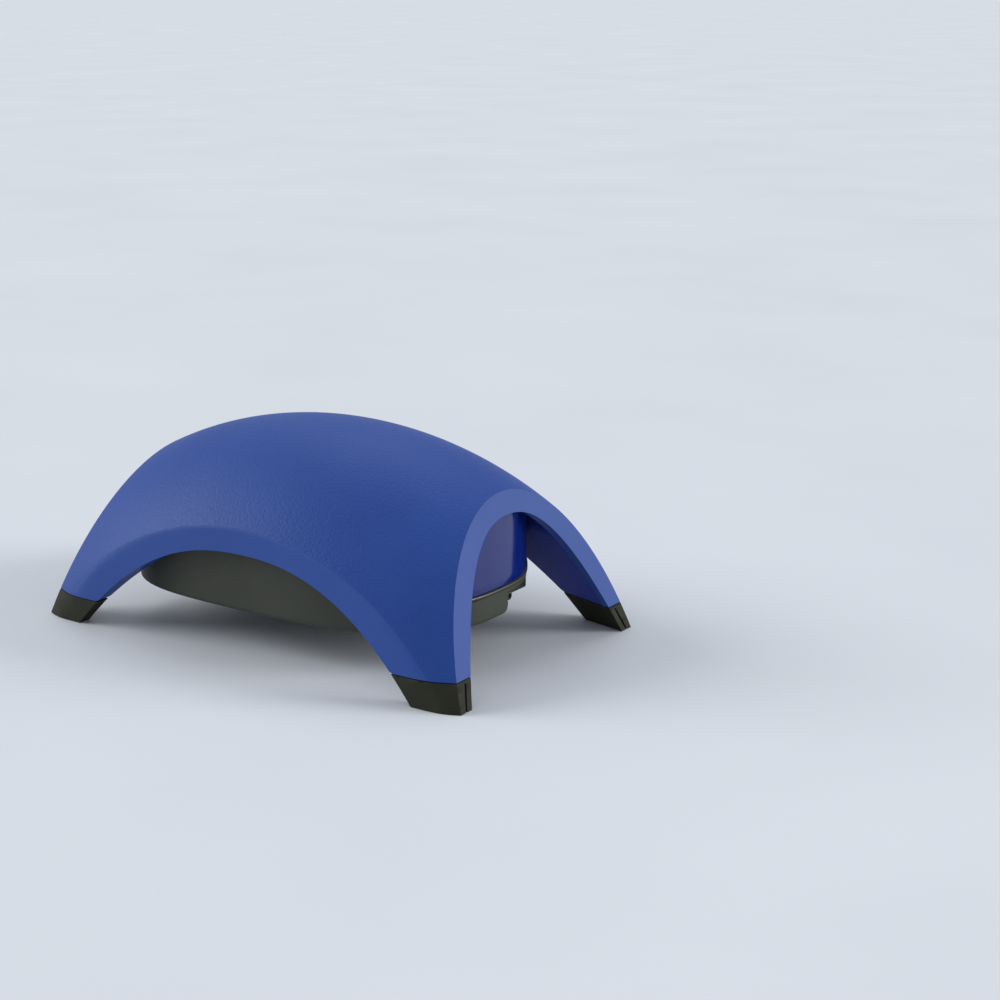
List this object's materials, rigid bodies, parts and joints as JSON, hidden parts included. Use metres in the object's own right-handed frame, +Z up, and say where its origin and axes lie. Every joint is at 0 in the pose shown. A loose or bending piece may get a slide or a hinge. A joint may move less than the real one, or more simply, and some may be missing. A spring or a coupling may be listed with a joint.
{
  "type": "aquarium air pump",
  "caption": "Domed diaphragm air pump on arched legs with rubber feet, a drum housing under the dome, a vibrating magnet arm and an airline outlet.",
  "frame": {"origin": "on the table under the middle of the pump, at the centre of its bounding box's bottom", "axes": "+X along the length towards the air outlet, +Y across, +Z up"},
  "size_m": [0.18, 0.1134, 0.074],
  "materials": {
    "grained_blue": "fine moulded grain, satin",
    "glossy_blue": "smooth gloss",
    "dark_plastic": "matte",
    "black_rubber": "matte",
    "soft_rubber": "matte",
    "clear_silicone": "smooth, milky",
    "white_plastic": "satin",
    "felt": "felted",
    "steel": "zinc plated",
    "laminations": "stacked sheet",
    "copper": "enamelled wire",
    "ferrite": "matte sintered"
  },
  "bodies": {
    "pump_body": {"air_tube": "clear_silicone", "base_pan": "dark_plastic", "base_screw_back_left": "steel", "base_screw_back_right": "steel", "base_screw_front_left": "steel", "base_screw_front_right": "steel", "base_seal": "soft_rubber", "clamp_ring": "white_plastic", "coil_bobbin": "white_plastic", "coil_winding": "copper", "cord_gland": "soft_rubber", "core_strap": "steel", "diaphragm": "soft_rubber", "dome_screw_back_left": "steel", "dome_screw_back_right": "steel", "dome_screw_front_left": "steel", "dome_screw_front_right": "steel", "dome_shell": "grained_blue", "dome_washer_back_left": "steel", "dome_washer_back_right": "steel", "dome_washer_front_left": "steel", "dome_washer_front_right": "steel", "e_core": "laminations", "filter_cover": "dark_plastic", "filter_felt": "felt", "foot_back_left": "black_rubber", "foot_back_right": "black_rubber", "foot_front_left": "black_rubber", "foot_front_right": "black_rubber", "isolation_mount_back_left": "soft_rubber", "isolation_mount_back_right": "soft_rubber", "isolation_mount_front_left": "soft_rubber", "isolation_mount_front_right": "soft_rubber", "motor_frame": "white_plastic", "motor_housing": "glossy_blue", "outlet_barb": "dark_plastic", "pivot_bush_back": "soft_rubber", "pivot_bush_front": "soft_rubber", "pivot_pin": "steel", "valve_block": "white_plastic", "valve_cover": "white_plastic", "valve_gasket": "soft_rubber"},
    "arm": {"arm_lever": "steel", "arm_magnet": "ferrite", "diaphragm_plate": "steel", "diaphragm_bolt": "steel"},
    "inlet_flap": {"inlet_flap": "soft_rubber"},
    "outlet_flap": {"outlet_flap": "soft_rubber"}
  },
  "joints": [
    {"name": "arm_pivot", "type": "hinge", "parent": "pump_body", "child": "arm", "pos_m": [0.038, 0, 0.04], "axis": [0, 1, 0], "range_deg": [-1.4, 1.4], "stiffness_Nm_per_rad": 2.3, "deforming": ["diaphragm"]},
    {"name": "inlet_flap_bend", "type": "hinge", "parent": "pump_body", "child": "inlet_flap", "pos_m": [0.011, 0, 0.0313], "axis": [0, 1, 0], "range_deg": [0, 12], "stiffness_Nm_per_rad": 0.0002},
    {"name": "outlet_flap_bend", "type": "hinge", "parent": "pump_body", "child": "outlet_flap", "pos_m": [0.017, 0, 0.0292], "axis": [0, 1, 0], "range_deg": [0, 12], "stiffness_Nm_per_rad": 0.0002}
  ]
}
